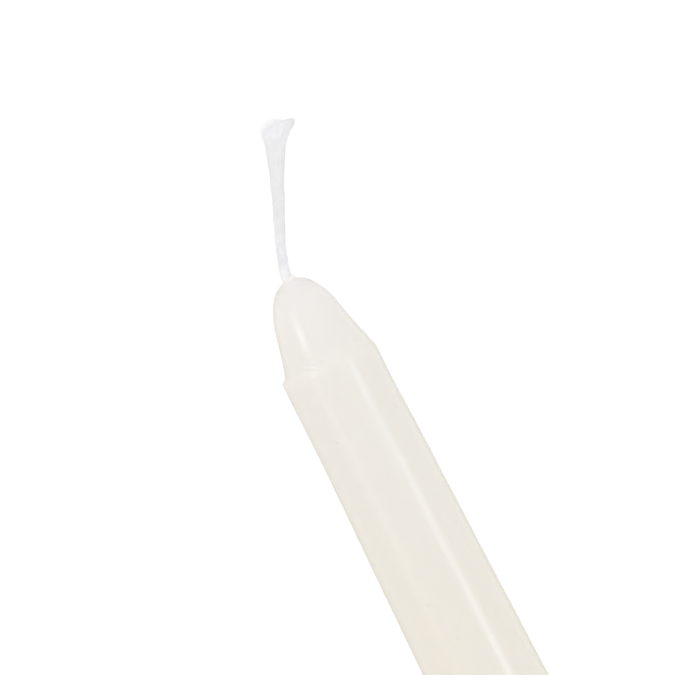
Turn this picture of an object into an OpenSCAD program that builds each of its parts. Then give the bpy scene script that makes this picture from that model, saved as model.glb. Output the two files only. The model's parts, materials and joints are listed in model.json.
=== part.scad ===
// Taper candle: a moulded wax body with a flat-braided cotton wick through its middle.
// Lengths are in millimetres. +Z runs up the candle, and the origin is the centre of its foot.

/* [Wax body] */
// Length of the wax, from the foot to the crown of the tip
wax_len = 250; // [150:5:350]
// Diameter of the foot, which is what a candle holder's cup takes
foot_d = 22; // [18:0.5:26]
// Height of the straight foot that stands in the cup
foot_h = 20; // [5:1:40]
// Chamfer round the lower edge of the foot
foot_chamfer = 0.4; // [0.1:0.1:2]

/* [Shoulder ring] */
// Diameter across the ring, where the tip mould met the long tube of the mould
shoulder_d = 14; // [12:0.5:17]
// Rounding of the ring's upper edge
ring_round = 0.5; // [0.2:0.05:0.8]
// How far the ring's edge stands outside the foot of the tip
ring_step = 0.44; // [0.2:0.02:0.8]
// How far the ring stands out beyond the line of the taper
ring_swell = 0.15; // [0.05:0.05:0.4]
// Length below the ring over which the swell dies away
swell_len = 10; // [3:1:15]

/* [Tip] */
// Height of the tip, from the widest line of the ring to the crown
tip_h = 12.7; // [9:0.1:18]
// Radius of the domed crown
crown_r = 3.65; // [3:0.05:5]
// Slope where the crown runs into the flare, in degrees from the candle's axis
crown_slope = 35; // [20:1:45]
// Slope of the flare where it meets the ring, in degrees from the candle's axis
flare_slope = 20; // [10:1:30]
// Reach of the crown's slope into the flare, as a share of the flare's height
flare_upper = 0.3; // [0.2:0.01:0.45]
// Reach of the ring's slope into the flare, as a share of the flare's height
flare_lower = 0.52; // [0.3:0.01:0.6]

/* [Collar of wax round the wick] */
// Height that the wax was drawn up the wick, above the crown
collar_h = 0.35; // [0.2:0.05:1]
// Thickness of the wax at the collar's lip
collar_lip = 0.12; // [0.05:0.01:0.3]
// Width of the collar's foot on the crown, outside the wick
collar_foot = 0.7; // [0.4:0.05:1.2]

/* [Wick] */
// Diameter of the braided cord where it runs in the wax
wick_d = 1.5; // [1:0.1:2.4]
// Clearance between the cord and the wax, on each side
wick_gap = 0.05; // [0.02:0.01:0.1]
// Depth that the cord's lower end is trimmed inside the foot
wick_inset = 0.2; // [0:0.1:2]
// Number of flats round the cord
wick_sides = 12; // [8:2:16]

/* [Hidden] */

WAX_COLOUR = "#ede9e1";
WICK_COLOUR = "#e9e7e5";
ROUND_STEPS = 96;
// Numbers of straight steps that stand for each curve of the wax outline
CROWN_STEPS = 12;
FLARE_STEPS = 16;
RING_STEPS = 6;
SWELL_STEPS = 8;
COLLAR_STEPS = 5;
// How far a cutter reaches past the face that it cuts
CUT = 1;

bore_d = wick_d + 2 * wick_gap;
foot_r = foot_d / 2;
shoulder_r = shoulder_d / 2;
ring_z = wax_len - tip_h;

// The free end of the wick leans towards +X and opens out like a small brush.
// Each point is [reach sideways, height above the crown, lean in degrees, width, thickness].
// Widths and thicknesses are in cord diameters.
WICK_ROUTE = [
    [0.00, 0.4, 2, 1.04, 1.04],
    [0.18, 1.3, 10, 1.08, 1.00],
    [0.40, 2.1, 16, 1.02, 0.95],
    [0.82, 3.4, 19, 1.00, 0.90],
    [1.32, 4.8, 22, 1.01, 0.88],
    [1.92, 6.2, 23, 1.03, 0.86],
    [2.85, 8.3, 23, 1.13, 0.86],
    [3.75, 10.3, 23, 1.22, 0.88],
    [4.60, 12.4, 23, 1.31, 0.92],
    [5.25, 13.8, 23, 1.42, 1.00],
    [5.80, 15.1, 23, 1.62, 1.08],
    [6.65, 17.0, 16, 1.95, 1.25],
    [7.40, 18.2, 9, 2.48, 1.45],
    [8.00, 18.9, 4, 3.02, 1.60],
    [8.23, 19.4, 1, 3.14, 1.65],
    [8.05, 20.0, 0, 2.60, 1.30],
    [8.20, 20.4, 0, 1.55, 0.80],
    [8.30, 20.6, 0, 0.80, 0.40],
];

// Points on a round arc, from one angle to another
function arc(centre, r, from, to, steps) = [
    for (i = [0:steps])
        let (a = from + (to - from) * i / steps)
        centre + r * [cos(a), sin(a)]
];

// Points on a smooth curve that leaves a along a-b and reaches d along c-d
function curve(a, b, c, d, steps) = [
    for (i = [0:steps])
        let (t = i / steps, u = 1 - t)
        u * u * u * a + 3 * u * u * t * b + 3 * u * t * t * c + t * t * t * d
];

// A list without its first point, for joining two curves that share a point
function rest(points) = [for (i = [1:len(points) - 1]) points[i]];

// The plain foot, up to where the taper starts
function foot_outline() = [
    [0, 0],
    [foot_r - foot_chamfer, 0],
    [foot_r, foot_chamfer],
    [foot_r, foot_h],
];

// The ring's swell on the line of the taper, from its lower end up to the widest line
function swell_outline() =
    let (
        taper_top = [shoulder_r - ring_swell, ring_z],
        slope = (taper_top - [foot_r, foot_h]) / (ring_z - foot_h),
        start = taper_top - slope * swell_len,
        widest = [shoulder_r, ring_z]
    )
    curve(start, start + slope * swell_len / 2, widest - [0, swell_len / 4], widest, SWELL_STEPS);

// Angle on the ring's rounding where the flare meets it
function ring_angle() = acos(max(0, 1 - ring_step / ring_round));

// The ring's rounded upper edge
function ring_outline() =
    arc([shoulder_r - ring_round, ring_z], ring_round, 0, ring_angle(), RING_STEPS);

// The flare, from its foot on the ring up to the crown
function flare_outline() =
    let (
        low = [shoulder_r - ring_step, ring_z + ring_round * sin(ring_angle())],
        high = [crown_r * cos(crown_slope), wax_len - crown_r + crown_r * sin(crown_slope)],
        rise = high[1] - low[1]
    )
    curve(
        low,
        low + flare_lower * rise * [-tan(flare_slope), 1],
        high - flare_upper * rise * [-tan(crown_slope), 1],
        high,
        FLARE_STEPS
    );

// The domed crown, up to the foot of the collar
function crown_outline() =
    arc([0, wax_len - crown_r], crown_r, crown_slope, collar_angle(), CROWN_STEPS);

// Angle on the crown at which the collar's foot begins
function collar_angle() = acos((bore_d / 2 + collar_foot) / crown_r);

// The collar, a small hollow curve from the crown up to its lip against the wick
function collar_outline() =
    let (
        a = collar_angle(),
        low = [crown_r * cos(a), wax_len - crown_r + crown_r * sin(a)],
        lip = [bore_d / 2 + collar_lip, wax_len + collar_h],
        along = collar_foot / 2
    )
    curve(low, low + along * [-sin(a), cos(a)], lip - [0, along], lip, COLLAR_STEPS);

// Half of the wax's section, from the foot up to the collar's lip and back to the axis
function wax_outline() = concat(
    foot_outline(),
    swell_outline(),
    rest(ring_outline()),
    ring_step > ring_round ? flare_outline() : rest(flare_outline()),
    rest(crown_outline()),
    rest(collar_outline()),
    [[0, wax_len + collar_h]]
);

module wax_body() {
    color(WAX_COLOUR)
    difference() {
        rotate_extrude($fn = ROUND_STEPS) polygon(wax_outline());
        translate([0, 0, -CUT])
            cylinder(h = wax_len + collar_h + 2 * CUT, d = bore_d, $fn = ROUND_STEPS);
    }
}

// One oval ring of the cord, leaning towards +X
function cord_ring(x, z, lean, width, thickness) = [
    for (i = [0:wick_sides - 1])
        let (a = 360 * i / wick_sides, across = cos(a) * width / 2)
        [x + across * cos(lean), sin(a) * thickness / 2, z - across * sin(lean)]
];

// The side faces between ring k and the ring above it
function band_faces(k, n) = [
    for (i = [0:n - 1])
        let (j = (i + 1) % n)
        [k * n + i, (k + 1) * n + i, (k + 1) * n + j, k * n + j]
];

module wick() {
    n = wick_sides;
    stations = concat(
        [[0, wick_inset - wax_len, 0, 1, 1]],
        WICK_ROUTE
    );
    points = [
        for (p = stations)
            each cord_ring(p[0], wax_len + p[1], p[2], wick_d * p[3], wick_d * p[4])
    ];
    top = len(stations) - 1;
    faces = concat(
        [[for (i = [0:n - 1]) i]],
        [for (k = [0:top - 1]) each band_faces(k, n)],
        [[for (i = [n - 1:-1:0]) top * n + i]]
    );
    color(WICK_COLOUR) polyhedron(points = points, faces = faces, convexity = 4);
}

wax_body();
wick();
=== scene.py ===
# %% [markdown]
# # A white taper candle
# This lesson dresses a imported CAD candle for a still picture. The CAD part gives the sizes and
# the place. Here the wax gets the small faults of a real moulding, and the wick gets its braid and
# its soft open end. Shapes are worked out in millimetres, and lamps and the room are in metres.

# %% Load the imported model
import json
import math
import random

import bpy
import numpy as np
from mathutils import Matrix, Vector, noise

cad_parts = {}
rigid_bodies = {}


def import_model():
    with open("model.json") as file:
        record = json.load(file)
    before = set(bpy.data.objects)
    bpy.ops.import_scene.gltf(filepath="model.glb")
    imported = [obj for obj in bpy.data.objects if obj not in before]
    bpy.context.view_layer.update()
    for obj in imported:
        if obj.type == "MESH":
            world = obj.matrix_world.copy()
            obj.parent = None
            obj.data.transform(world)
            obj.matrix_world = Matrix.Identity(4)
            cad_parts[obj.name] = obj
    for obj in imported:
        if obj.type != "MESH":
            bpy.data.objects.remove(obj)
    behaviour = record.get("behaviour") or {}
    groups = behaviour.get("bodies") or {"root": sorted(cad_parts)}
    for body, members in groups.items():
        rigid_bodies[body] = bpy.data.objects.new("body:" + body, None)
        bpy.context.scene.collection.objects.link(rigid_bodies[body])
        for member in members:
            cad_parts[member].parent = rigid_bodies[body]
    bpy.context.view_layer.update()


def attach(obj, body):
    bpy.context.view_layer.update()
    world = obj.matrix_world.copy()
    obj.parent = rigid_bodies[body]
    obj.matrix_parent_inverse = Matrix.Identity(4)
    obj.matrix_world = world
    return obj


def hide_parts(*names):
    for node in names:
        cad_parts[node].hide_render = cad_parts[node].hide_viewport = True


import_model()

MM = 0.001

# %% [markdown]
# ## The camera
# The photograph looks at the top of a candle that lies at a slant in the frame. The candle stands
# upright in this file, so the camera is rolled and its top edge leans to the right. A camera close
# by would make the near parts bulge, so a long lens a metre away keeps the perspective as flat as
# the photograph's.

# %% Camera values
FRAME_PX = 675
MM_PER_PX = 0.1375
CAMERA_AWAY_MM = 1000
CAMERA_RISE = math.radians(3.5)
CAMERA_ROLL = math.radians(26.6)
AIM_MM = Vector((2.61, 0.0, 239.9))
SENSOR_MM = 36.0
print("frame across, mm:", round(FRAME_PX * MM_PER_PX, 1))

# %% Camera


def direction(azimuth, rise):
    """The way to a point that is azimuth to the right of straight ahead, seen from the object."""
    return Vector((math.sin(azimuth) * math.cos(rise), -math.cos(azimuth) * math.cos(rise), math.sin(rise)))


def make_camera():
    back = direction(0, CAMERA_RISE)
    side = Vector((1, 0, 0))
    top = back.cross(side)
    up = math.cos(CAMERA_ROLL) * top + math.sin(CAMERA_ROLL) * side
    right = up.cross(back)
    data = bpy.data.cameras.new("camera")
    data.sensor_width = SENSOR_MM
    data.lens = SENSOR_MM * CAMERA_AWAY_MM / (FRAME_PX * MM_PER_PX)
    data.clip_start, data.clip_end = 0.05, 40
    camera = bpy.data.objects.new("camera", data)
    camera.matrix_world = Matrix.Translation((AIM_MM + back * CAMERA_AWAY_MM) * MM) @ Matrix(
        (right, up, back)
    ).transposed().to_4x4()
    bpy.context.scene.collection.objects.link(camera)
    bpy.context.scene.camera = camera
    return camera


camera = make_camera()
print("lens mm:", round(camera.data.lens, 1))

# %% [markdown]
# ## Small helpers
# Colours are written as sRGB hex values, as a colour picker shows them, and one function turns
# them to the linear values that Blender mixes. Another adds a node with its settings and links.

# %% Colour and node helpers


def linear(hex_colour):
    """An sRGB colour such as "ede9e1" as a linear RGBA value."""
    parts = [int(hex_colour[i:i + 2], 16) / 255 for i in (0, 2, 4)]
    return tuple(c / 12.92 if c <= 0.04045 else ((c + 0.055) / 1.055) ** 2.4 for c in parts) + (1.0,)


def add_node(tree, kind, inputs=None, stops=(), **settings):
    """A new node. An input is a plain value, or the output of another node to link from. Stops are
    those of a colour ramp, each with its position and hex colour."""
    node = tree.nodes.new(kind)
    for name, value in settings.items():
        setattr(node, name, value)
    for socket, value in (inputs or {}).items():
        if isinstance(value, bpy.types.NodeSocket):
            tree.links.new(value, node.inputs[socket])
        else:
            node.inputs[socket].default_value = value
    for i, (position, colour) in enumerate(stops):
        elements = node.color_ramp.elements
        element = elements[i] if i < len(elements) else elements.new(position)
        element.position, element.color = position, linear(colour)
    return node


def new_material(name):
    material = bpy.data.materials.new(name)
    material.use_nodes = True
    material.node_tree.nodes.clear()
    return material, material.node_tree


print("middle grey 808080 is linear:", round(linear("808080")[0], 3))

# %% Mesh helpers


def mix(a, b, t):
    return a + (b - a) * t


def smooth(t):
    """0 below 0, 1 above 1, and an even S in between."""
    t = min(1.0, max(0.0, t))
    return t * t * (3 - 2 * t)


def turned(angle, degrees):
    """How far an angle lies from another that is given in degrees, the short way round."""
    return (angle - math.radians(degrees) + math.pi) % (2 * math.pi) - math.pi


def make_piece(name, points_mm, faces, material, attribute=None):
    """A smooth-shaded piece that rides on the candle. Points are in millimetres."""
    mesh = bpy.data.meshes.new(name)
    mesh.from_pydata([tuple(c * MM for c in p) for p in points_mm], [], faces)
    mesh.shade_smooth()
    if attribute:
        attribute_name, kind, values = attribute
        layer = mesh.attributes.new(attribute_name, kind, "POINT")
        layer.data.foreach_set("vector" if kind == "FLOAT_VECTOR" else "value", values)
    mesh.materials.append(material)
    piece = bpy.data.objects.new(name, mesh)
    bpy.context.scene.collection.objects.link(piece)
    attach(piece, "root")
    triangles = sum(len(p.vertices) - 2 for p in mesh.polygons)
    print(name, "points:", len(mesh.vertices), "triangles:", triangles)
    return piece


print("smooth at quarters:", [round(smooth(i / 4), 2) for i in range(5)])

# %% [markdown]
# ## The wax body
# A moulded taper is round about its axis, apart from small faults. A Screw modifier could turn it
# from one outline, but then all its sides would be alike. Here code draws an outline for each
# angle round the candle and joins them up, so the faults are real shape: the tip sits a hair to
# one side of the long tube, because the two parts of the mould don't quite line up, the ring is
# crisper on one side, and the wax climbs the wick higher on the side that it leans to. The sizes
# are the CAD part's.

# %% Wax sizes, in millimetres
WAX_LEN = 250.0
FOOT_R = 11.0
FOOT_H = 20.0
FOOT_CHAMFER = 0.4
SHOULDER_R = 7.0
RING_SWELL = 0.15
SWELL_LEN = 10.0
TIP_H = 12.7
CROWN_R = 3.65
CROWN_SLOPE = math.radians(35)
FLARE_UPPER = 0.3
FLARE_LOWER = 0.52
BORE_R = 0.8
RING_Z = WAX_LEN - TIP_H
print("ring at a height of, mm:", round(RING_Z, 2))

# %% Outline helpers


def cubic(a, b, c, d, steps):
    """Points on a smooth curve that leaves a along a-b and reaches d along c-d."""
    out = []
    for i in range(steps + 1):
        t = i / steps
        u = 1 - t
        out.append(tuple(
            u * u * u * a[k] + 3 * u * u * t * b[k] + 3 * u * t * t * c[k] + t * t * t * d[k] for k in (0, 1)
        ))
    return out


def arc(centre, r, start, end, steps):
    angles = [mix(start, end, i / steps) for i in range(steps + 1)]
    return [(centre[0] + r * math.cos(a), centre[1] + r * math.sin(a)) for a in angles]


def side(pair, angle, reach=1.0):
    """A value between the one at -X and the one at +X, for an angle round the candle.
    A small reach lets the value at +X go further round."""
    return mix(pair[0], pair[1], ((1 + math.cos(angle)) / 2) ** reach)


around_front = [round(side((0, 1), math.radians(a)), 2) for a in (-180, -135, -90, -45, 0)]
print("share of the value at +X, from -X by the front to +X:", around_front)

# %% [markdown]
# ## Pits, specks and ripples
# Bubbles and dust leave shallow pits and darker specks in moulded wax, and where it set in steps it
# has fine ripples. A bump map could draw them, but an exported mesh keeps only real shape. So each
# mark moves the skin's points, and the outline has more points where a mark is. Those in view
# follow the photograph. The few on the back and low on the body are made up.

# %% Pits and specks
# [height mm, angle in degrees, radius mm, depth mm, darkness]. -90 degrees is the front and 0 is +X.
# One with a depth below 0 stands out, and a darkness below 0 is paler than the wax, which is a painted
# highlight.
MARKS = [
    (232.9, -98, 0.30, 0.006, 0.10),
    (228.9, -154, 0.15, 0.020, 0.45),
    (227.3, -124, 0.17, 0.020, 0.40),
    (210.2, -38, 0.15, 0.015, 0.30),
    (201.9, -111, 0.18, 0.020, 0.30),
    (196.0, -98, 0.15, 0.010, 0.20),
    # This one stands out a little and is painted paler where the right-hand highlight falls: real shape and
    # a painted highlight.
    (229.6, -68, 0.20, -0.015, -0.3),
    (176.0, -60, 0.20, 0.025, 0.6),
    (141.0, -130, 0.24, 0.025, 0.5),
    (214.0, 95, 0.20, 0.020, 0.6),
    (188.0, 60, 0.24, 0.030, 0.5),
    (150.0, 140, 0.20, 0.025, 0.6),
    (92.0, -85, 0.26, 0.025, 0.5),
    (66.0, 30, 0.22, 0.025, 0.5),
]


def mark_at(angle, z, r):
    """Depth and darkness of the marks at a point of the skin."""
    depth = dark = 0.0
    for mark_z, degrees, radius, mark_depth, darkness in MARKS:
        if abs(z - mark_z) < radius * 3:
            away = math.hypot(turned(angle, degrees) * r, z - mark_z) / radius
            if away < 3:
                fade = math.exp(-away * away)
                depth += mark_depth * fade
                dark += darkness * fade
    return depth, dark


print("marks:", len(MARKS))

# %% Ripples
# The middle of the three ripples: angle in degrees, and height
RIPPLE_AT, RIPPLE_Z = -113, 238.5
# Depth, length of one wave, and how much it climbs for each millimetre round the candle
RIPPLE_DEEP, RIPPLE_LONG, RIPPLE_TILT = 0.056, 0.76, 0.2
# They fade over this part of a turn, in radians, and this height, a little below their middle
FADE_WIDE, FADE_TALL, FADE_BELOW = 0.19, 0.85, 0.2
# No ripple reaches further than this up or down
RIPPLE_REACH = 2.5


def ripple(angle, z):
    """Three fine ripples in the ledge, left of the middle, where the wax set in steps."""
    turn = turned(angle, RIPPLE_AT)
    fade = math.exp(-(turn / FADE_WIDE) ** 2) * math.exp(-((z - RIPPLE_Z + FADE_BELOW) / FADE_TALL) ** 2)
    wave = 2 * math.pi * (z - RIPPLE_Z + RIPPLE_TILT * turn * SHOULDER_R) / RIPPLE_LONG
    # The second sine makes flat steps with a short steep rise between them
    return -RIPPLE_DEEP * fade * (math.sin(wave) + 0.125 * math.sin(2 * wave))


print("height between ripples, mm:", RIPPLE_LONG)

# %% Faults of the moulding
# How far the tip sits to +X, and how far the ring sits, which is to -X
TIP_OFF = 0.1
RING_OFF = -0.1
# Heights over which the middle moves: the tip's from just above the ring's line, the ring's below it
TIP_MOVES_FROM, TIP_MOVES_OVER = 0.1, 1.2
RING_MOVES_BELOW, RING_MOVES_OVER = 14, 10
# [depth mm, how fast it changes round the candle, length mm, place in the noise]: slow and fine
WAVERS = [(0.035, 0.9, 22.0, 0), (0.010, 2.6, 6.0, 7)]


def off_centre(z):
    """How far the wax's middle sits to +X at a height."""
    above = smooth((z - RING_Z - TIP_MOVES_FROM) / TIP_MOVES_OVER)
    below = smooth((z - (RING_Z - RING_MOVES_BELOW)) / RING_MOVES_OVER)
    return mix(RING_OFF * below, TIP_OFF, above)


def waver(angle, z):
    """A very shallow unevenness of the moulded skin."""
    total = 0.0
    for depth, fast, length, place in WAVERS:
        x, y = math.cos(angle) * fast + place, math.sin(angle) * fast
        total += depth * noise.noise(Vector((x, y, z / length)))
    return total


print("middle of the tip, mm to +X:", off_centre(WAX_LEN))

# %% [markdown]
# ## The outline at each angle
# It goes down the bore, across the foot, up the long taper to the ring, over the ledge, up the
# hollow flare and over the crown to the collar of wax round the wick. One outline for all angles
# would be simpler, but the ring is crisp at -X and soft at +X. So each such size is a pair of values,
# and an outline mixes them by its angle.

# %% The foot and the long taper
# The bore stops inside the body, where no light reaches it, so the thin tip glows evenly
BORE_TOP = 225.0
# The ledge's own rounding starts this far below the ring's line
LEDGE_START = 2.0
# Steps between the body's rings, in millimetres: low down, from the height where the picture starts
# and a little below it, and near the ring
LOW_STEP, SEEN_STEP, RING_NEAR_STEP = 2.6, 0.95, 0.3
SEEN_FROM = 180
LEAST_STEP = 0.05
# Each mark has rings through it, at these shares of its radius from its middle
MARK_RINGS = (-2, -1.2, -0.6, 0, 0.6, 1.2, 2)


def body_heights():
    """Heights of the rings between foot and ledge: close together in view and at each mark."""
    heights, z = [], FOOT_H
    while z < RING_Z - LEDGE_START:
        z += LOW_STEP if z < SEEN_FROM else SEEN_STEP if z < RING_Z - SWELL_LEN else RING_NEAR_STEP
        heights.append(z)
    heights[-1] = RING_Z - LEDGE_START
    for mark_z, _, r, _, _ in MARKS:
        heights += [mark_z + r * k for k in MARK_RINGS]
    heights.sort()
    kept = heights[:1]
    for z in heights[1:]:
        if z - kept[-1] > LEAST_STEP:
            kept.append(z)
    return kept


def skin_r(z):
    """The body's radius: a straight taper, and a slight swell on it under the ring."""
    straight = mix(FOOT_R, SHOULDER_R - RING_SWELL, (z - FOOT_H) / (RING_Z - FOOT_H))
    return straight + RING_SWELL * smooth((z - RING_Z + SWELL_LEN) / SWELL_LEN) ** 1.5


def foot_points():
    """Down the bore, across the flat foot, and up its straight side."""
    points = [(0.0, BORE_TOP), (BORE_R, BORE_TOP - BORE_R)] + [(BORE_R, z) for z in (150, 60, 3, 0.6, 0.0)]
    points += [(r, 0.0) for r in (1.3, 2.4, 4.5, 6.5, 8.5, 9.8)]
    points += arc((FOOT_R - FOOT_CHAMFER, FOOT_CHAMFER), FOOT_CHAMFER, -math.pi / 2, 0, steps=6)
    return points + [(FOOT_R, z) for z in (1.2, 2.5, 5, 8, 11, 14, 16.5, 18.5, FOOT_H - 0.5)]


BODY_HEIGHTS = body_heights()
print("rings up the body:", len(BODY_HEIGHTS))

# %% The ring and the flare
# Each pair is the value at -X, where the ring is crisp, and the value at +X, where it is soft
RING_ROUND = [0.45, 1.15]
RING_STEP = [0.45, 0.36]
RING_DROP = [0.0, 0.6]
FLARE_SLOPE = [math.radians(18), math.radians(20)]
RING_SIDES = 0.35
# The ring stands this much higher in front: left of the middle, and right of it
RING_LIFT = [0.85, 1.2]
FLARE_STEPS = 72


def ring_points(angle, lift):
    """The last of the body, and the ring's rounded upper edge."""
    step, ring_round = side(RING_STEP, angle, RING_SIDES), side(RING_ROUND, angle, RING_SIDES)
    ring_z = RING_Z - side(RING_DROP, angle, RING_SIDES) + lift
    start_z = RING_Z - LEDGE_START
    points = cubic(
        (skin_r(start_z), start_z),
        (SHOULDER_R, start_z + LEDGE_START / 2),
        (SHOULDER_R, ring_z - 0.2),
        (SHOULDER_R, ring_z),
        steps=16,
    )[1:]
    ring_turn = math.acos(1 - step / ring_round)
    return points + arc((SHOULDER_R - ring_round, ring_z), ring_round, 0, ring_turn, steps=14)[1:]


def flare_points(start, angle, lift):
    """The hollow flare up to the crown. Where the ring stands higher, the flare stays as it is."""
    slope = side(FLARE_SLOPE, angle, RING_SIDES)
    low = (start[0], start[1] - lift)
    high = (CROWN_R * math.cos(CROWN_SLOPE), WAX_LEN - CROWN_R + CROWN_R * math.sin(CROWN_SLOPE))
    rise = high[1] - low[1]
    flare = cubic(
        low,
        (low[0] - FLARE_LOWER * rise * math.tan(slope), low[1] + FLARE_LOWER * rise),
        (high[0] + FLARE_UPPER * rise * math.tan(CROWN_SLOPE), high[1] - FLARE_UPPER * rise),
        high,
        steps=64,
    )
    # The points stand closer together near the ledge, where the shape changes most
    heights = [mix(start[1], high[1], (i / FLARE_STEPS) ** 1.7) for i in range(1, FLARE_STEPS + 1)]
    return list(zip(np.interp(heights, [p[1] for p in flare], [p[0] for p in flare]).tolist(), heights))


print("width of the ledge at -X and at +X, mm:", RING_STEP)

# %% The softened ledge
# How far the ledge is evened out, in millimetres: at -X, at +X, and in front and behind
LEDGE_REACH = [0.1, 0.35]
LEDGE_SOFT = 0.95
# The stretch's middle above the ring's line, how far up and down it is read, and how far it changes
LEDGE_MIDDLE, LEDGE_READ, LEDGE_CHANGED = 0.3, 6.0, 3.4


def round_off(points, reach):
    """Evens out the ledge between body and tip, as the wax did when it shrank. Each radius becomes
    the average of those within about that reach, in millimetres."""
    rows = [
        i for i, p in enumerate(points)
        if abs(p[1] - RING_Z - LEDGE_MIDDLE) < LEDGE_READ and p[0] > CROWN_R
    ]
    z = np.array([points[i][1] for i in rows])
    r = np.array([points[i][0] for i in rows])
    even_z = np.linspace(z[0], z[-1], 400)
    even_r = np.interp(even_z, z, r)
    weight = np.exp(-0.5 * ((z[:, None] - even_z[None, :]) / reach) ** 2)
    new_r = weight @ even_r / weight.sum(1)
    # Both ends of the stretch stay as they were, and the change sets in over the next millimetre
    hold = np.clip(LEDGE_CHANGED - np.abs(z - RING_Z - LEDGE_MIDDLE), 0, 1)
    for i, old, new, share in zip(rows, r, new_r, hold):
        points[i] = (float(old + (new - old) * share), points[i][1])
    return points


print("reach of the softening in front, mm:", LEDGE_SOFT)

# %% The crown, the collar and the whole outline
# Height of the collar and width of its foot, each at -X and at +X
COLLAR_H = [0.12, 0.8]
COLLAR_FOOT = [0.45, 0.55]
COLLAR_SIDES = 3.2
# The collar's lip reaches this far into the bore, so that no gap shows at the cord
LIP_IN = 0.06


def crown_points(angle):
    """The domed crown, the collar of wax that climbs from it up the wick, and the end on the axis."""
    collar_h = side(COLLAR_H, angle, COLLAR_SIDES)
    collar_foot = side(COLLAR_FOOT, angle, COLLAR_SIDES)
    turn = math.acos((BORE_R + collar_foot) / CROWN_R)
    points = arc((0, WAX_LEN - CROWN_R), CROWN_R, CROWN_SLOPE, turn, steps=24)[1:]
    low, lip = points[-1], (BORE_R - LIP_IN, WAX_LEN + collar_h)
    points += cubic(
        low,
        (low[0] - collar_foot * 0.5 * math.sin(turn), low[1] + collar_foot * 0.5 * math.cos(turn)),
        (lip[0] + 0.08, lip[1] - max(0.1, collar_h * 0.6)),
        lip,
        steps=12,
    )[1:]
    return points + [(0.4, lip[1] - 0.1), (0.0, WAX_LEN - 0.2)]


def wax_profile(angle):
    """The whole outline at one angle, from the bore's upper end round to the wick."""
    right = smooth((math.cos(angle) + 0.1) / 0.5)
    lift = mix(*RING_LIFT, right) * max(0.0, -math.sin(angle)) ** 2
    points = foot_points() + [(skin_r(z), z) for z in BODY_HEIGHTS] + ring_points(angle, lift)
    points += flare_points(points[-1], angle, lift)
    reach = mix(side(LEDGE_REACH, angle), LEDGE_SOFT, smooth(abs(math.sin(angle)) / 0.4))
    return round_off(points, reach) + crown_points(angle)


print("points in one outline:", len(wax_profile(0.0)))

# %% Joining the outlines
WAX_AROUND = 216


def skin_point(angle, r, z):
    """A point of the outline, with its marks, waver and ripples, and how dark the wax is there."""
    depth = dark = 0.0
    if r > BORE_R + 0.4 and z > 0.3:  # leaves the bore and the flat foot alone
        depth, dark = mark_at(angle, z, r)
        r += waver(angle, z) * smooth((r - 1.2) / 4) - depth
        if abs(z - RIPPLE_Z) < RIPPLE_REACH:
            r += ripple(angle, z)
        if z < FOOT_H:
            r = min(r, FOOT_R)
    shift = off_centre(z) if z > 100 else 0.0
    return (r * math.cos(angle) + shift, r * math.sin(angle), z), dark


def make_wax(material):
    points, darkness = [], []
    for k in range(WAX_AROUND):
        angle = 2 * math.pi * k / WAX_AROUND
        section = wax_profile(angle)
        for r, z in section:
            point, dark = skin_point(angle, r, z)
            points.append(point)
            darkness.append(dark)
    # The first and last points of every outline lie on the axis, and become one point each
    rings = len(section)
    bottom, top = 0, rings - 1
    faces = []
    for k in range(WAX_AROUND):
        here, there = k * rings, (k + 1) % WAX_AROUND * rings
        for i in range(1, rings - 2):
            faces.append((here + i, there + i, there + i + 1, here + i + 1))
        faces.append((bottom, there + 1, here + 1))
        faces.append((here + rings - 2, there + rings - 2, top))
    kept = sorted({i for face in faces for i in face})
    place = {old: new for new, old in enumerate(kept)}
    return make_piece(
        "wax_moulding",
        [points[i] for i in kept],
        [tuple(place[i] for i in face) for face in faces],
        material,
        ("specks_and_painted_glint", "FLOAT", [darkness[i] for i in kept]),
    )


# %% [markdown]
# ## Paraffin wax
# Paraffin is a white, slightly translucent solid. Light goes a few millimetres into it and comes out
# warmer, so its shaded sides stay bright. Plain white paint would look chalky, so the shader lets
# light in with subsurface scattering. Set against a polished mould, the wax has a satin skin, which
# handling gives fine lengthwise scratches. A typical IOR is 1.43, with a roughness of about 0.3.
# This one is glossier, at 0.17 to 0.25, to match its highlights.

# %% Wax tones
# The collar is painted lighter than the tip to cancel the shade in its hollow corner against the cord:
# painted light.
WAX_COLLAR_PAINTED_LIGHT = "f0eeee"
WAX_TIP = "e8e5e3"
WAX_NECK = "e9e6e3"
WAX_SHOULDER = "e8e5e0"
WAX_BODY = "e8e5df"
WAX_DEEP = "e8e4dc"
WAX_CLOUD = "e6e2d9"
WAX_SPECK = "cfc3ae"


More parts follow.
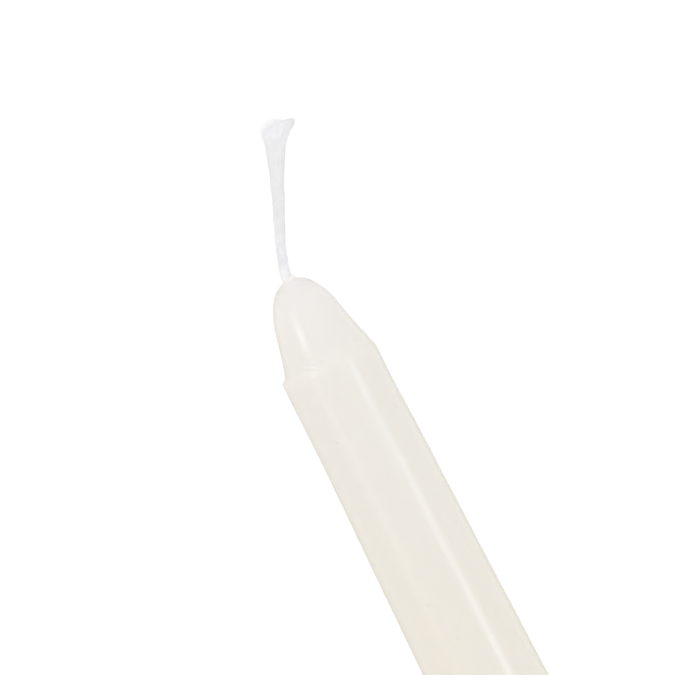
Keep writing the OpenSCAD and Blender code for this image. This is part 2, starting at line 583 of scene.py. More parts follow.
def wax_colour(tree, place, split):
    """The wax's tone up the candle, with cloudy patches, specks, and painted light on the collar at the
    cord.
    """
    # Height is turned to 0 at the foot and 1 at the crown
    height = add_node(
        tree, "ShaderNodeMapRange",
        {"Value": split.outputs["Z"], "From Min": 0.0, "From Max": WAX_LEN * MM},
    )
    # The last stop paints the collar at the cord lighter, against the shade of its corner: painted light.
    tone = add_node(tree, "ShaderNodeValToRGB", {"Fac": height.outputs["Result"]}, [
        (0.0, WAX_DEEP), (0.80, WAX_DEEP), (0.90, WAX_BODY), (0.945, WAX_SHOULDER), (0.965, WAX_NECK),
        (0.99, WAX_TIP), (0.9986, WAX_TIP), (1.0, WAX_COLLAR_PAINTED_LIGHT),
    ])
    # Cloudy patches, 9 mm across, where the wax set at different speeds
    cloud = add_node(tree, "ShaderNodeTexNoise", {"Vector": place, "Scale": 1 / (9 * MM), "Detail": 3.0})
    cloud_amount = add_node(
        tree, "ShaderNodeMapRange",
        {"Value": cloud.outputs["Fac"], "From Min": 0.5, "From Max": 0.8, "To Min": 0.0, "To Max": 0.25},
    )
    clouded = add_node(
        tree, "ShaderNodeMix",
        {"Factor": cloud_amount.outputs["Result"], "A": tone.outputs["Color"], "B": linear(WAX_CLOUD)},
        data_type="RGBA",
    )
    # Specks darken the wax, and the one mark with a darkness below 0 is a painted highlight.
    specks_and_painted_glint = add_node(tree, "ShaderNodeAttribute", attribute_name="specks_and_painted_glint")
    return add_node(
        tree, "ShaderNodeMix",
        {"Factor": specks_and_painted_glint.outputs["Fac"], "A": clouded.outputs["Result"], "B": linear(WAX_SPECK)},
        data_type="RGBA",
    )


print("wax low down, linear:", [round(c, 3) for c in linear(WAX_DEEP)[:3]])

# %% Wax material
WAX_IOR = 1.43
WAX_ROUGHNESS = [0.17, 0.25]
# Red light goes this deep into the wax, and green and blue a little less
WAX_DEPTH_MM = 2.5
WAX_DEPTH_SHARES = (1.0, 0.92, 0.84)


def wax_material():
    material, tree = new_material("paraffin_wax_moulded")
    place = add_node(tree, "ShaderNodeTexCoord").outputs["Object"]
    split = add_node(tree, "ShaderNodeSeparateXYZ", {"Vector": place})
    colour = wax_colour(tree, place, split)
    # Handling scratches run lengthwise. Real ones are too fine to show, so they are drawn 0.25 mm
    # apart and 12 mm long, and only change the gloss.
    stretched = add_node(
        tree, "ShaderNodeMapping",
        {"Vector": place, "Scale": (1 / (0.25 * MM), 1 / (0.25 * MM), 1 / (12 * MM))},
    )
    scratches = add_node(
        tree, "ShaderNodeTexNoise", {"Vector": stretched.outputs["Vector"], "Scale": 1.0, "Detail": 4.0},
    )
    gloss = add_node(tree, "ShaderNodeMapRange", {
        "Value": scratches.outputs["Fac"],
        "From Min": 0.3, "From Max": 0.7,
        "To Min": WAX_ROUGHNESS[0], "To Max": WAX_ROUGHNESS[1],
    })
    # A very shallow grain, 1.1 mm across, breaks up the highlights' edges
    grain = add_node(tree, "ShaderNodeTexNoise", {"Vector": place, "Scale": 1 / (1.1 * MM), "Detail": 3.0})
    bump = add_node(
        tree, "ShaderNodeBump", {"Height": grain.outputs["Fac"], "Strength": 0.2, "Distance": 0.02 * MM},
    )
    # The wax close round the cord is cloudy, so no light goes deep there
    depth = add_node(tree, "ShaderNodeMapRange", {
        "Value": split.outputs["Z"],
        "From Min": (WAX_LEN - 3.0) * MM, "From Max": (WAX_LEN - 0.3) * MM,
        "To Min": 1.0, "To Max": 0.0,
    })
    shader = add_node(tree, "ShaderNodeBsdfPrincipled", {
        "Base Color": colour.outputs["Result"],
        "Roughness": gloss.outputs["Result"],
        "IOR": WAX_IOR,
        "Subsurface Weight": depth.outputs["Result"],
        "Subsurface Radius": WAX_DEPTH_SHARES,
        "Subsurface Scale": WAX_DEPTH_MM * MM,
        "Normal": bump.outputs["Normal"],
    })
    add_node(tree, "ShaderNodeOutputMaterial", {"Surface": shader.outputs["BSDF"]})
    return material


# %% The finished wax
WAX = wax_material()
print(WAX.name, "nodes:", len(WAX.node_tree.nodes))
wax = make_wax(WAX)
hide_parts("wax_body")

# %% [markdown]
# ## The wick
# A taper's wick is a flat braid: three strands, each of several cotton yarns, that cross over and
# under every couple of millimetres. It runs the whole length of the candle and leaves the crown
# with a lean. Where it was cut, the braid has come undone and its fibres fan out. Each yarn could be
# a tube of its own, but real yarns are soft and press together, and the gaps between tubes would
# look too dark. So the cord is one skin that swells over each yarn and dips softly between them.
# Its route is the CAD part's.

# %% Wick route
WICK_D = 1.5
WICK_INSET = 0.2
# [reach to +X, height above the crown, lean in degrees, width, thickness], the last two in cord diameters
WICK_ROUTE = [
    (0.00, 0.4, 2, 1.04, 1.04), (0.18, 1.3, 10, 1.08, 1.00), (0.40, 2.1, 16, 1.02, 0.95),
    (0.82, 3.4, 19, 1.00, 0.90), (1.32, 4.8, 22, 1.01, 0.88), (1.92, 6.2, 23, 1.03, 0.86),
    (2.85, 8.3, 23, 1.13, 0.86), (3.75, 10.3, 23, 1.22, 0.88), (4.60, 12.4, 23, 1.31, 0.92),
    (5.25, 13.8, 23, 1.42, 1.00), (5.80, 15.1, 23, 1.62, 1.08), (6.65, 17.0, 16, 1.95, 1.25),
    (7.40, 18.2, 9, 2.48, 1.45), (8.00, 18.9, 4, 3.02, 1.60), (8.23, 19.4, 1, 3.14, 1.65),
]
# Lengths along the cord are counted from this far below the crown. It is hidden and plain below that
START_BELOW = 3.0
STATIONS = [(0.0, -START_BELOW, 0, 1.0, 1.0), (0.0, -1.0, 0, 1.0, 1.0)] + WICK_ROUTE
LENGTHS = [0.0]
for a, b in zip(STATIONS, STATIONS[1:]):
    LENGTHS.append(LENGTHS[-1] + math.hypot(b[0] - a[0], b[1] - a[1]))
CORD_END = LENGTHS[-1]
print("cord from", START_BELOW, "mm below the crown to its end, mm:", round(CORD_END, 2))


def cord_at(length):
    """The cord's middle, and its sideways and forward half axes, at a length along it. A smooth
    curve goes through the stations."""
    length = min(max(length, 0.0), CORD_END)
    i = max(k for k in range(len(LENGTHS) - 1) if LENGTHS[k] <= length)
    t = (length - LENGTHS[i]) / (LENGTHS[i + 1] - LENGTHS[i])
    before, after = STATIONS[max(i - 1, 0)], STATIONS[min(i + 2, len(STATIONS) - 1)]
    here, there = STATIONS[i], STATIONS[i + 1]
    x, z, lean, width, thick = [
        0.5 * (2 * q + (r - p) * t + (2 * p - 5 * q + 4 * r - s) * t * t + (3 * q - p - 3 * r + s) * t ** 3)
        for p, q, r, s in zip(before, here, there, after)
    ]
    lean = math.radians(lean)
    across = Vector((math.cos(lean), 0, -math.sin(lean))) * (width * WICK_D / 2)
    return Vector((x, 0, WAX_LEN + z)), across, Vector((0, thick * WICK_D / 2, 0))


# %% Braid
# One strand comes back to its place after this length
BRAID_PITCH = 6.6
STRANDS = 3
YARNS = 7
YARN_TWIST = 9.0
YARN_R = 0.125
# The cord's core, as a share of its half axes, and how softly the skin dips between two yarns
CORE = 0.945
SOFT_DIP = 0.012
CORD_AROUND = 144
WAYS = [2 * math.pi * k / CORD_AROUND for k in range(CORD_AROUND)]


def braid_place(strand, yarn, length):
    """Where a yarn runs in the cord's section, in half widths and half thicknesses."""
    turn = 2 * math.pi * (length / BRAID_PITCH + strand / STRANDS)
    u, v = 0.56 * math.sin(turn), 0.50 * math.sin(2 * turn)
    if yarn:
        twist = 2 * math.pi * (yarn / (YARNS - 1) + length / YARN_TWIST)
        u += 0.30 * math.cos(twist)
        v += 0.34 * math.sin(twist)
    return u, v


def braid_surface(length):
    """How far the cord's skin stands out at each angle of its section, as a share of its half axes.
    The skin runs over the yarns and dips softly between them."""
    way = np.arange(CORD_AROUND) * 2 * math.pi / CORD_AROUND
    look = np.stack([np.cos(way), np.sin(way)])
    swell = cord_at(length)[1].length / (WICK_D / 2)
    rho = YARN_R / (WICK_D / 2) * mix(1.0, 1 / swell, 0.4)
    total = np.ones(CORD_AROUND)
    for strand in range(STRANDS):
        for yarn in range(YARNS):
            centre = np.array(braid_place(strand, yarn, length))
            along = centre @ look
            room = rho ** 2 - centre @ centre + along ** 2
            out = along + np.sqrt(np.maximum(room, 0))
            reach = np.where((room > 0) & (out > 0), out, 0.0)
            total += np.exp((np.minimum(reach, 0.995) - CORE) / SOFT_DIP)
    return CORE + SOFT_DIP * np.log(total)


def fibre_relief(angle, length, fine):
    """Shallow lengthwise ridges of fibres, as a share of the half axes."""
    x, y = math.cos(angle) * fine, math.sin(angle) * fine
    ridges = noise.noise(Vector((x, y, length / 2.2)))
    return ridges + 0.6 * noise.noise(Vector((x * 2.1, y * 2.1, length / 1.3 + 9)))


skin = braid_surface(10.0)
print("braid's skin 10 mm along, share of the half axes:", round(skin.min(), 3), "to", round(skin.max(), 3))

# %% The cord's rings
# Wax has soaked the cord up to here and evened its skin out, and the braid shows fully a bit higher
WAXED_TO, WAXED_FADE = 3.4, 2.0
# The braid comes undone from here, and the last stretch before the end fans out to its full width
OPEN_FROM, OPEN_FADE = 14.5, 3.5
FAN_LEN, FAN_FADE = 3.5, 3.0
# At the very end the right corner sticks out, and the left edge draws in
CORNER_OUT, CORNER_LEN = 0.08, 1.1
EDGE_IN, EDGE_LEN = 0.06, 0.9
# A plain skin, as a share of the half axes, and the share of the braid that shows through the wax
PLAIN = 0.965
WAXED_BRAID = 0.25
# How fine the ridges of fibres are, on the braid and where it is open, and how deep they are
RIDGES_FINE = (7, 16)
RIDGE_WAXED, RIDGE_BRAID_MORE, RIDGE_OPEN = 0.006, 0.010, 0.020


def cord_ring(s):
    """One ring of the cord's skin: plain where it is waxed, then braided, and fanned out at its end."""
    middle, across, deep = cord_at(s)
    open_up = smooth((s - OPEN_FROM) / OPEN_FADE)
    fanned = smooth((s - CORD_END + FAN_LEN) / FAN_FADE)
    dry = smooth((s - WAXED_TO) / WAXED_FADE)
    corner = CORNER_OUT * smooth((s - CORD_END + CORNER_LEN) / CORNER_LEN)
    edge = EDGE_IN * smooth((s - CORD_END + EDGE_LEN) / EDGE_LEN)
    ridge = mix(RIDGE_WAXED + RIDGE_BRAID_MORE * dry, RIDGE_OPEN, open_up)
    skin = braid_surface(s)
    ring = []
    for k, a in enumerate(WAYS):
        braided = mix(PLAIN, skin[k], WAXED_BRAID + (1 - WAXED_BRAID) * dry)
        share = mix(braided, mix(PLAIN, 1.0, fanned), open_up)
        share += fibre_relief(a, s, mix(*RIDGES_FINE, open_up)) * ridge
        share += corner * max(0.0, math.cos(a)) ** 6
        share -= edge * max(0.0, -math.cos(a)) ** 4
        ring.append(middle + across * (math.cos(a) * share) + deep * (math.sin(a) * share))
    return ring


starts = [round(s - START_BELOW, 1) for s in (WAXED_TO, OPEN_FROM)]
print("waxed up to, and open from, mm along the cord from the crown:", starts)

# %% The domed end
DOME_H = 0.74
DOME_STEPS = 40
# Height of the bumps that the fibres' ends make
BUMP_H = 0.07


def dome_height(x, t):
    """Height of the cord's firm end over its rim. x runs from -1 to 1 across the cord, and t from 0
    at the rim to 1 at the top. The end is flat, with a corner on the right and a slope on the left."""
    height = DOME_H * (1 - 0.3 * smooth((x - 0.1) / 0.8))
    return height * math.sin(t * math.pi / 2) ** mix(1.7, 0.7, smooth((x + 1) / 1.7))


def dome_ring(edge, t):
    """One of the smaller and smaller ovals that close the end, with the bumps of the fibres' ends."""
    middle, across, _ = cord_at(CORD_END)
    ring = []
    for rim in edge:
        flat = middle + (rim - middle) * math.cos(t * math.pi / 2)
        height = dome_height((flat.x - middle.x) / across.x, t)
        ends = noise.noise(Vector((flat.x * 4.2, flat.y * 4.2, 3.0)))
        ends += 0.7 * noise.noise(Vector((flat.x * 8.5, flat.y * 8.5, 5.0)))
        ring.append(flat + Vector((0, 0, height + BUMP_H * ends * smooth(t * 3))))
    return ring


tops = [round(dome_height(x, 1), 2) for x in (-0.5, 0, 1)]
print("top of the end over its rim, from left to right, mm:", tops)

# %% Joining the cord
CORD_STEPS = 250
# Rings of the hidden part, which starts just inside the foot, and their radius
HIDDEN_HEIGHTS = (WICK_INSET, 1, 60, 150, 230, 245)
HIDDEN_R = 0.7


def make_cord(material):
    """The cord from the foot up, its braid, and its open end with a dome of fibre ends."""
    rings = [
        [Vector((HIDDEN_R * math.cos(a), HIDDEN_R * math.sin(a), z)) for a in WAYS] for z in HIDDEN_HEIGHTS
    ]
    lengths = [z - WAX_LEN + START_BELOW for z in HIDDEN_HEIGHTS]
    for i in range(CORD_STEPS + 1):
        lengths.append(CORD_END * i / CORD_STEPS)
        rings.append(cord_ring(lengths[-1]))
    edge = rings[-1]
    for i in range(1, DOME_STEPS + 1):
        rings.append(dome_ring(edge, i / DOME_STEPS))
        lengths.append(CORD_END + i / DOME_STEPS)
    # Each point knows its place round the cord and along it, for the fibres in the material
    route = []
    for s in lengths:
        for a in WAYS:
            route += [math.cos(a), math.sin(a), s]
    faces = []
    for i in range(len(rings) - 1):
        for k in range(CORD_AROUND):
            j, low, high = (k + 1) % CORD_AROUND, i * CORD_AROUND, (i + 1) * CORD_AROUND
            faces.append((low + k, low + j, high + j, high + k))
    faces.append(tuple(reversed(range(CORD_AROUND))))
    last = (len(rings) - 1) * CORD_AROUND
    faces.append(tuple(last + k for k in range(CORD_AROUND)))
    points = [p for ring in rings for p in ring]
    return make_piece("wick_cord", points, faces, material, ("route", "FLOAT_VECTOR", route))


# %% [markdown]
# ## The loose hairs
# Round the cord's open end stands a soft halo of single cotton hairs, longest on the left. A
# see-through shell would have a hard edge, and Blender's hair has no mesh to export. So each hair
# is a thin tube of five rings that bends a little, and all of them are one piece. They are about as
# thin as real ones, a hundredth of a millimetre across, but there are far fewer of them. Their
# directions come from a random generator with a fixed seed.

# %% Tubes


class Tubes:
    """Many thin tubes gathered into one mesh."""

    def __init__(self):
        self.points, self.faces = [], []

    def add(self, line, radii, sides):
        """A tube round a line of points, with a radius at each and a number of flat sides."""
        first = len(self.points)
        for i, (p, r) in enumerate(zip(line, radii)):
            along = (line[min(i + 1, len(line) - 1)] - line[max(i - 1, 0)]).normalized()
            u = along.cross(Vector((0.31, 0.95, 0.05))).normalized()
            v = along.cross(u)
            for k in range(sides):
                a = 2 * math.pi * k / sides
                self.points.append(p + u * (r * math.cos(a)) + v * (r * math.sin(a)))
        for i in range(len(line) - 1):
            for k in range(sides):
                j = (k + 1) % sides
                a, b = first + i * sides, first + (i + 1) * sides
                self.faces.append((a + k, a + j, b + j, b + k))
        last = first + (len(line) - 1) * sides
        self.faces.append(tuple(first + k for k in reversed(range(sides))))
        self.faces.append(tuple(last + k for k in range(sides)))


sample = Tubes()
sample.add([Vector((0, 0, 0)), Vector((0, 0, 1))], [0.1, 0.1], 5)
print("a straight tube with five sides has points:", len(sample.points), "faces:", len(sample.faces))

# %% Hairs
# Rows of hairs run from SIDE_LEN below the cord's end up to its top. Their t is from -SIDE_SHARE to 0
# on the cord's side, and from 0 to 1 on the dome.
FUZZ_ROWS = 40
SIDE_LEN = 1.6
SIDE_SHARE = 0.3
HAIRS_AT_TOP, HAIRS_MORE_AT_RIM = 12, 90
HAIR_R, HAIR_RINGS, HAIR_SIDES = 0.005, 5, 5
# The least length of a hair, and how much longer the longest are
HAIR_LEAST, FUZZ_REACH = 0.1, 1.25
# How far hairs stray from the main direction, and how much they bend
HAIR_STRAY, HAIR_BEND = 0.16, 0.2


def hair_root(t, x, v):
    """Where a hair starts: on the cord's side, or just under the dome's skin."""
    if t > 0:
        middle, across, deep = cord_at(CORD_END)
        return middle + across * x + deep * v + Vector((0, 0, dome_height(x, t) - 0.05))
    middle, across, deep = cord_at(CORD_END + SIDE_LEN * t / SIDE_SHARE)
    return middle + across * (0.97 * x) + deep * (0.97 * v)


def make_fuzz(material):
    """The soft halo of the open end. The hairs are longest left of the middle, and the right corner
    has none."""
    rng = random.Random(41)
    tubes = Tubes()
    last = HAIR_RINGS - 1
    for row in range(FUZZ_ROWS):
        t = (row + 0.5) / FUZZ_ROWS * (1 + SIDE_SHARE) - SIDE_SHARE
        share = math.cos(max(0, t) * math.pi / 2)
        hairs = int(HAIRS_AT_TOP + HAIRS_MORE_AT_RIM * share)
        for h in range(hairs):
            a = 2 * math.pi * (h + rng.random()) / hairs
            x, v = share * math.cos(a), share * math.sin(a)
            left = smooth((0.8 - x) / 1.0)
            if rng.random() > (left if t > 0 else smooth(-x * 1.5)):
                continue
            root = hair_root(t, x, v)
            heading = Vector((0.32 * x - 0.06, 0.4 * v, 0.88)).normalized()
            heading += Vector([rng.gauss(0, HAIR_STRAY) for _ in range(3)])
            bend = Vector([rng.gauss(0, HAIR_BEND) for _ in range(3)])
            reach = HAIR_LEAST + rng.random() * FUZZ_REACH * left * mix(0.45, 1.0, smooth((x + 1) / 0.5))
            line = [root + (heading + bend * (k / last)) * (reach * k / last) for k in range(HAIR_RINGS)]
            tubes.add(line, [HAIR_R * (1 - 0.12 * k) for k in range(HAIR_RINGS)], HAIR_SIDES)
    fuzz = make_piece("wick_fuzz", tubes.points, tubes.faces, material)
    # Nearly all light goes past and through such fine hairs, so they shade nothing
    fuzz.visible_diffuse = fuzz.visible_shadow = False
    return fuzz


# %% [markdown]
# ## Bleached cotton
# Bleached cotton yarn is a dull white with a faint cool cast. It has no gloss, only the soft sheen of
# its fuzz. A plain colour would look like plaster, so the tone changes up the cord, from the waxed
# lower end through the denser braid to the open end, and fibres and patches shade it. A typical IOR
# is 1.5, with a roughness near 0.9.

# %% Cotton tones
COTTON_WAXED = "f5f4f6"
COTTON_RISING = "edecef"
COTTON_BRAIDED = "e9e8e9"
COTTON_OPEN = "eeedf0"
COTTON_SHADE = "dad8db"
COTTON_HAIR = "f4f3f6"


def cotton_tone(tree, place):
    """The cotton's tone from the crown, at 0, up to the open end, at 1."""
    split = add_node(tree, "ShaderNodeSeparateXYZ", {"Vector": place})
    height = add_node(
        tree, "ShaderNodeMapRange",
        {"Value": split.outputs["Z"], "From Min": WAX_LEN * MM, "From Max": (WAX_LEN + 20) * MM},
    )
    return add_node(tree, "ShaderNodeValToRGB", {"Fac": height.outputs["Result"]}, [
        (0.0, COTTON_WAXED), (0.05, COTTON_WAXED), (0.13, COTTON_RISING), (0.26, COTTON_RISING),
        (0.42, COTTON_BRAIDED), (0.78, COTTON_BRAIDED), (0.92, COTTON_OPEN),
    ])


print("braided cotton, linear:", [round(c, 3) for c in linear(COTTON_BRAIDED)[:3]])

# %% Cotton material
COTTON_ROUGHNESS = 0.9
COTTON_IOR = 1.5
# The loose surface mirrors about half as much as a closed one with that IOR
COTTON_SPECULAR = 0.25


def cotton_material():
    material, tree = new_material("bleached_cotton_braid")
    place = add_node(tree, "ShaderNodeTexCoord").outputs["Object"]
    tone = cotton_tone(tree, place)
    # Fibres run along the cord. Real ones are about 0.02 mm across, which is too fine to show, so they
    # are drawn 0.1 mm apart and 2.5 mm long. The route is [cos, sin, length in mm].
    route = add_node(tree, "ShaderNodeAttribute", attribute_name="route")
    stretched = add_node(
        tree, "ShaderNodeMapping", {"Vector": route.outputs["Vector"], "Scale": (8, 8, 1 / 2.5)},
    )
    fibres = add_node(
        tree, "ShaderNodeTexNoise", {"Vector": stretched.outputs["Vector"], "Scale": 1.0, "Detail": 2.0},
    )
    # Shaded patches, 1.6 mm across, where yarns lie closer together
    patches = add_node(
        tree, "ShaderNodeTexNoise", {"Vector": place, "Scale": 1 / (1.6 * MM), "Detail": 2.0},
    )
    both = add_node(
        tree, "ShaderNodeMath", {0: fibres.outputs["Fac"], 1: patches.outputs["Fac"]}, operation="MULTIPLY",
    )
    shade = add_node(
        tree, "ShaderNodeMapRange",
        {"Value": both.outputs["Value"], "From Min": 0.12, "From Max": 0.34, "To Min": 0.45, "To Max": 0.0},
    )
    toned = add_node(
        tree, "ShaderNodeMix",
        {"Factor": shade.outputs["Result"], "A": tone.outputs["Color"], "B": linear(COTTON_SHADE)},
        data_type="RGBA",
    )
    bump = add_node(
        tree, "ShaderNodeBump", {"Height": fibres.outputs["Fac"], "Strength": 0.3, "Distance": 0.03 * MM},
    )
    shader = add_node(tree, "ShaderNodeBsdfPrincipled", {
        "Base Color": toned.outputs["Result"],
        "Roughness": COTTON_ROUGHNESS,
        "IOR": COTTON_IOR,
        "Specular IOR Level": COTTON_SPECULAR,
        "Sheen Weight": 0.1,
        "Sheen Roughness": 0.5,
        "Normal": bump.outputs["Normal"],
    })
    add_node(tree, "ShaderNodeOutputMaterial", {"Surface": shader.outputs["BSDF"]})
    return material


def fuzz_material():
    """Loose hairs are so thin that light goes round and through them, so they stay near white."""
    material, tree = new_material("loose_cotton_fuzz")
    shader = add_node(tree, "ShaderNodeBsdfPrincipled", {
        "Base Color": linear(COTTON_HAIR),
        "Roughness": COTTON_ROUGHNESS,
        "IOR": COTTON_IOR,
        "Specular IOR Level": COTTON_SPECULAR,
    })
    add_node(tree, "ShaderNodeOutputMaterial", {"Surface": shader.outputs["BSDF"]})
    return material


# %% The finished wick
COTTON_BRAID = cotton_material()
print(COTTON_BRAID.name, "nodes:", len(COTTON_BRAID.node_tree.nodes))
cord = make_cord(COTTON_BRAID)
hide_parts("wick")
fuzz = make_fuzz(fuzz_material())

# %% [markdown]
# ## Floor and background
# The photograph has a pure white background. More lamps could burn a pale floor out to white, but
# they would burn out the candle as well. So the floor is a sheet of pale paper, and a Light Path node
# lifts what the camera sees of it toward plain white: fully far away, and only partly near the
# candle, where it keeps its shadow.

# %% Floor
FLOOR_R = 9.0
FLOOR_SIDES = 96
# Both the floor and the world show the camera this much white
WHITE_STRENGTH = 1.02
# The floor is lifted this much near the candle, and more and more between these distances in metres
LIFT_NEAR = 0.3
LIFT_FROM, LIFT_FULL = 0.35, 1.2
PAPER = "f6f5f3"


def seen_or_mirrored(tree):
    """1 for rays from the camera, and for those that a mirror or glass sends on."""
    path = add_node(tree, "ShaderNodeLightPath")
    first = add_node(
        tree, "ShaderNodeMath",
        {0: path.outputs["Is Camera Ray"], 1: path.outputs["Is Glossy Ray"]}, operation="MAXIMUM",
    )
    return add_node(
        tree, "ShaderNodeMath",
        {0: first.outputs["Value"], 1: path.outputs["Is Transmission Ray"]}, operation="MAXIMUM",
    ).outputs["Value"]


def floor_material():
    material, tree = new_material("pale_paper_floor")
    place = add_node(tree, "ShaderNodeTexCoord").outputs["Object"]
    away = add_node(tree, "ShaderNodeVectorMath", {0: place}, operation="LENGTH")
    far = add_node(
        tree, "ShaderNodeMapRange",
        {"Value": away.outputs["Value"], "From Min": LIFT_FROM, "From Max": LIFT_FULL},
        interpolation_type="SMOOTHSTEP",
    )
    paper = add_node(tree, "ShaderNodeBsdfDiffuse", {"Color": linear(PAPER)})
    white = add_node(tree, "ShaderNodeEmission", {"Color": (1, 1, 1, 1), "Strength": WHITE_STRENGTH})
    lifted = add_node(
        tree, "ShaderNodeMixShader", {0: LIFT_NEAR, 1: paper.outputs["BSDF"], 2: white.outputs["Emission"]},
    )
    shown = add_node(
        tree, "ShaderNodeMixShader",
        {0: far.outputs["Result"], 1: lifted.outputs["Shader"], 2: white.outputs["Emission"]},
    )
    surface = add_node(
        tree, "ShaderNodeMixShader",
        {0: seen_or_mirrored(tree), 1: paper.outputs["BSDF"], 2: shown.outputs["Shader"]},
    )
    add_node(tree, "ShaderNodeOutputMaterial", {"Surface": surface.outputs["Shader"]})
    return material


def make_floor():
    mesh = bpy.data.meshes.new("floor")
    turns = [2 * math.pi * k / FLOOR_SIDES for k in range(FLOOR_SIDES)]
    ring = [(FLOOR_R * math.cos(a), FLOOR_R * math.sin(a), 0) for a in turns]
    mesh.from_pydata(ring, [], [tuple(range(FLOOR_SIDES))])
    mesh.materials.append(floor_material())
    floor = bpy.data.objects.new("floor", mesh)
    bpy.context.scene.collection.objects.link(floor)
    return floor


floor = make_floor()
print("floor across, m:", 2 * FLOOR_R)

# %% [markdown]
# ## The room
# Most of the light comes from a white room all round, which leaves almost no shadows. Low down and
# far out to the sides the room is a little warmer, as the edges of white wax show. The world could
# be one plain colour, but then the candle's edges would look grey.

# %% World
WORLD_LEVEL = (0.94, 0.94, 0.94, 1)
WORLD_SIDES = (1.02, 0.94, 0.72, 1)
# The warmer colour is full below the first height and gone above the second. 1 is straight up
WARM_BELOW, WARM_GONE = 0.1, 0.45


def world_tint(tree):
    """The plain level of the room, and its warmer colour low down and far out to the sides."""
    way = add_node(tree, "ShaderNodeTexCoord").outputs["Generated"]
    split = add_node(tree, "ShaderNodeSeparateXYZ", {"Vector": way})
    aside = add_node(
        tree, "ShaderNodeMath", {0: split.outputs["X"], 1: split.outputs["X"]}, operation="MULTIPLY",
    )
    far_aside = add_node(
        tree, "ShaderNodeMath",
        {0: aside.outputs["Value"], 1: aside.outputs["Value"]}, operation="MULTIPLY",
    )
    low = add_node(tree, "ShaderNodeMapRange", {
        "Value": split.outputs["Z"],
        "From Min": WARM_BELOW, "From Max": WARM_GONE,
        "To Min": 1.0, "To Max": 0.0,
    }, interpolation_type="SMOOTHSTEP")
    low_aside = add_node(
        tree, "ShaderNodeMath",
        {0: far_aside.outputs["Value"], 1: low.outputs["Result"]}, operation="MULTIPLY",
    )
    return add_node(
        tree, "ShaderNodeMix",
        {"Factor": low_aside.outputs["Value"], "A": WORLD_LEVEL, "B": WORLD_SIDES}, data_type="RGBA",
    )


def make_world():
    world = bpy.data.worlds.new("white_studio")
    bpy.context.scene.world = world
    world.use_nodes = True
    tree = world.node_tree
    tree.nodes.clear()
    tint = world_tint(tree)
    light = add_node(tree, "ShaderNodeBackground", {"Color": tint.outputs["Result"], "Strength": 1.0})
    white = add_node(tree, "ShaderNodeBackground", {"Color": (1, 1, 1, 1), "Strength": WHITE_STRENGTH})
    both = add_node(
        tree, "ShaderNodeMixShader",
        {0: seen_or_mirrored(tree), 1: light.outputs["Background"], 2: white.outputs["Background"]},
    )
    add_node(tree, "ShaderNodeOutputWorld", {"Surface": both.outputs["Shader"]})
    return world


world = make_world()
print(world.name, "level:", WORLD_LEVEL[0])

# %% [markdown]
# ## The lamps
# Soft highlights lie along both sides of the wax and over its tip. Each is a soft rectangle of
# light that the glossy skin mirrors. One big lamp on each side would leave a single even stripe, so
# there are three on each side, with heights, sizes and levels of their own. Their highlights fade
# into each other, as the photograph's do.

# %% Lamps
LAMP_AWAY = 0.8
DAYLIGHT = (0.66, 0.79, 1.0)
SOFT_DAYLIGHT = (0.94, 0.96, 1.0)
WHITE = (1, 1, 1)
# [name, the point on the candle that it faces in mm, degrees to the right, degrees up, width and
# height in metres, brightness where 1 is as bright as white paper, colour]
LAMPS = [
    ("strip_right_low", (3, -6, 205), 47, -7, 0.19, 0.11, 5.2, DAYLIGHT),
    ("strip_right", (3, -6, 205), 45.5, -1.5, 0.26, 0.08, 1.55, DAYLIGHT),
    ("strip_right_top", (3, -6, 235), 37, 4.5, 0.42, 0.17, 1.1, WHITE),
    ("strip_left", (-2, -5, 242), -43.5, 18, 0.19, 0.12, 6.2, SOFT_DAYLIGHT),
    ("strip_left_top", (-2, -5, 245), -46, 34, 0.24, 0.12, 1.7, WHITE),
    ("strip_left_low", (-2, -6, 205), -47, -1.5, 0.24, 0.10, 1.1, WHITE),
]


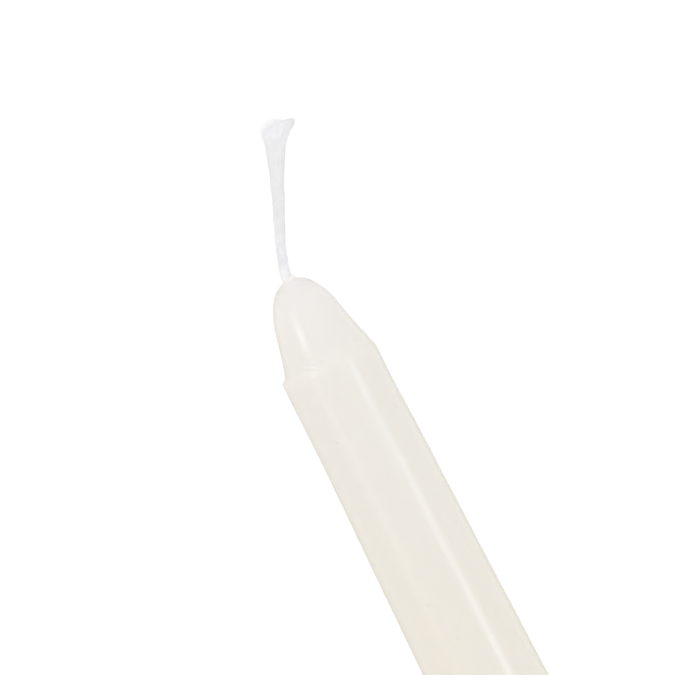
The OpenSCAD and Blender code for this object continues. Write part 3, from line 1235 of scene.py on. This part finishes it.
def make_lamp(name, aim_mm, azimuth, rise, width, height, brightness, colour):
    """A soft rectangle of light that faces a point on the candle."""
    data = bpy.data.lights.new(name, "AREA")
    data.shape = "RECTANGLE"
    data.size, data.size_y = width, height
    data.energy = brightness * math.pi * width * height
    data.color = colour
    way = direction(math.radians(azimuth), math.radians(rise))
    lamp = bpy.data.objects.new(name, data)
    lamp.location = Vector(aim_mm) * MM + way * LAMP_AWAY
    lamp.rotation_mode = "QUATERNION"
    lamp.rotation_quaternion = way.to_track_quat("Z", "Y")
    lamp.visible_camera = False
    bpy.context.scene.collection.objects.link(lamp)
    print(name, "watts:", round(data.energy, 3))
    return lamp


for settings in LAMPS:
    make_lamp(*settings)

# %% [markdown]
# ## The cards
# A photographer stands dark or cream cards beside a white object, so that its edges show against
# the white background. The edges could be painted darker, but that would be wrong from any other
# side. So two curved cream cards stand behind the candle, where only its edges mirror them. They
# light nothing, and the camera doesn't see them.

# %% Cards
CARD_AWAY = 0.6
CARD_TONE = (0.70, 0.66, 0.55, 1)
CARD_STEPS = 12
CARD_LOW, CARD_HIGH = 0.002, 1.0


def make_card(name, start, end):
    """A card that stands on the floor and goes from one angle behind the candle to another."""
    material, tree = new_material("cream_card")
    cream = add_node(tree, "ShaderNodeEmission", {"Color": CARD_TONE, "Strength": 1.0})
    add_node(tree, "ShaderNodeOutputMaterial", {"Surface": cream.outputs["Emission"]})
    points = []
    for i in range(CARD_STEPS + 1):
        a = math.radians(mix(start, end, i / CARD_STEPS))
        points += [(CARD_AWAY * math.sin(a), -CARD_AWAY * math.cos(a), z) for z in (CARD_LOW, CARD_HIGH)]
    mesh = bpy.data.meshes.new(name)
    mesh.from_pydata(points, [], [(2 * i, 2 * i + 2, 2 * i + 3, 2 * i + 1) for i in range(CARD_STEPS)])
    mesh.materials.append(material)
    card = bpy.data.objects.new(name, mesh)
    bpy.context.scene.collection.objects.link(card)
    card.visible_camera = card.visible_diffuse = card.visible_shadow = card.visible_transmission = False
    print(name, "from", start, "to", end, "degrees")
    return card


make_card("card_left", -169, -134)
make_card("card_right", 142, 169)

# %% [markdown]
# ## The picture
# Blender's own view transform would grey the white background. Standard shows a colour as it is
# written.

# %% Picture settings
bpy.context.scene.view_settings.view_transform = "Standard"
print("view transform:", bpy.context.scene.view_settings.view_transform)
